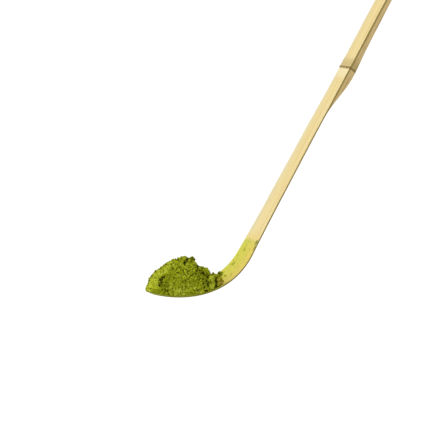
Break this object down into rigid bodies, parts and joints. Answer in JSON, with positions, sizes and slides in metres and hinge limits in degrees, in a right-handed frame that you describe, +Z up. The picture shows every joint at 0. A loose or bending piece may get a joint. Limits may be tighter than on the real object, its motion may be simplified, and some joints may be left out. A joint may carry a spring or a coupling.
{
  "type": "tea scoop",
  "caption": "Slender bent bamboo tea scoop with a shallow round-tipped bowl and a node halfway along, carrying a heap of powdered green tea that leaves over the tip.",
  "frame": {"origin": "on the front face of the handle, in its middle across, where the fingers hold it, 42 mm along the strip from the cut end", "axes": "+X from the tip towards the handle, +Y across the strip, +Z up, with the bowl level and the shaft raised as a loaded scoop is held"},
  "size_m": [0.1145, 0.0104, 0.1322],
  "materials": {
    "bamboo": "satin",
    "tea": "matte"
  },
  "bodies": {
    "scoop": {"bamboo_scoop": "bamboo"},
    "tea": {"tea_heap": "tea", "tea_front_clod": "tea", "tea_crest_lumps": "tea", "tea_heel_lumps": "tea", "tea_crumbs": "tea"}
  },
  "joints": [
    {"name": "tea_off", "type": "slide", "parent": "scoop", "child": "tea", "axis": [-0.8191, 0, 0.5736], "range_m": [0, 0.04]}
  ]
}
